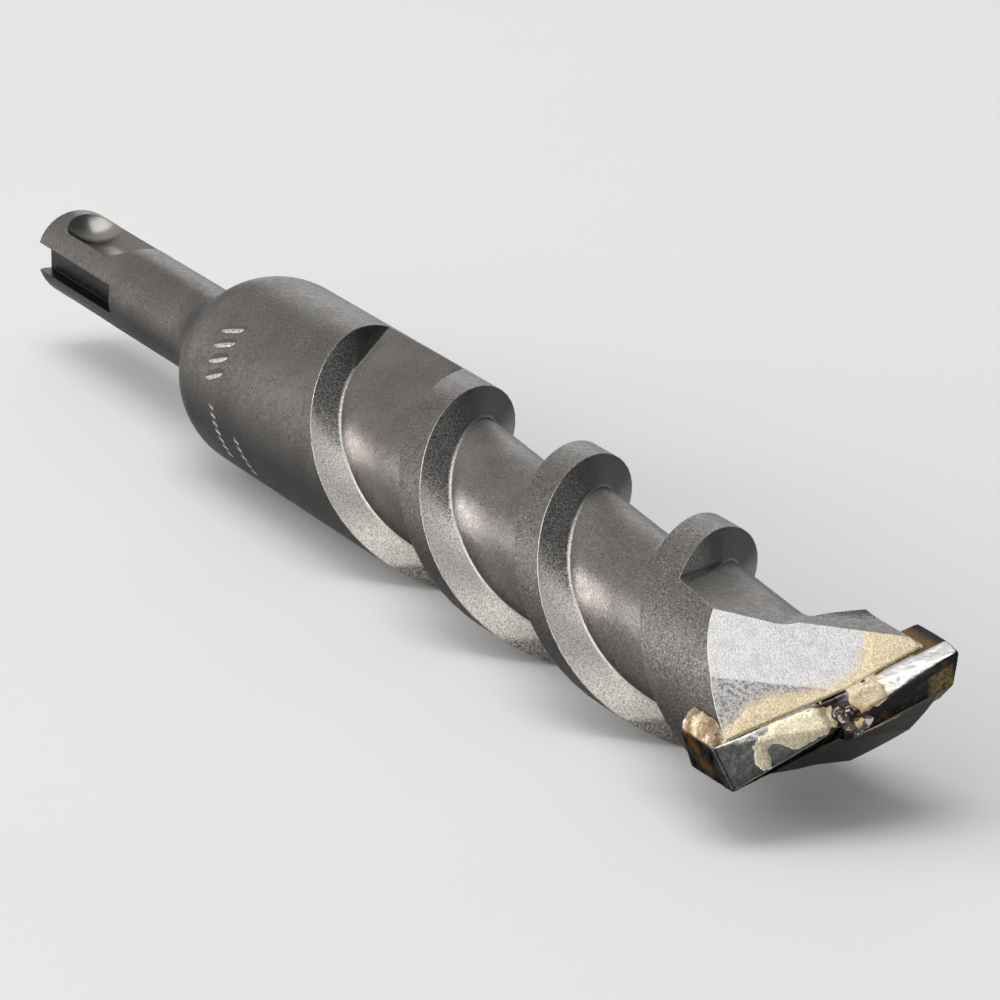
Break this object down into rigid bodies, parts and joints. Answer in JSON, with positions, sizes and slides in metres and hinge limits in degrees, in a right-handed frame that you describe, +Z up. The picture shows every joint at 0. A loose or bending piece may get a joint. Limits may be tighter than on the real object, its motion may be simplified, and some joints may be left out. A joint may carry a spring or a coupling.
{
  "type": "masonry drill bit with slotted quick-fit shank",
  "caption": "Hammer drill bit: slotted 10 mm shank, coned shoulder, deep right-hand helical flutes and a brazed carbide cutting plate.",
  "frame": {"origin": "centre of the flat striking face at the end of the shank", "axes": "+X along the bit from the shank to the tip, +Z up; the drive slots open to +Y and -Y, the ball grooves to +Z and -Z"},
  "size_m": [0.2106, 0.0242, 0.0212],
  "materials": {
    "blasted_steel": "blasted hardened alloy steel, satin, warm grey",
    "carbide": "sintered tungsten carbide, dark grey, with flux and braze stains",
    "braze": "matt golden braze metal, granular"
  },
  "bodies": {
    "root": {"steel_body": "blasted_steel", "carbide_plate": "carbide", "braze_joint": "braze"}
  },
  "joints": []
}
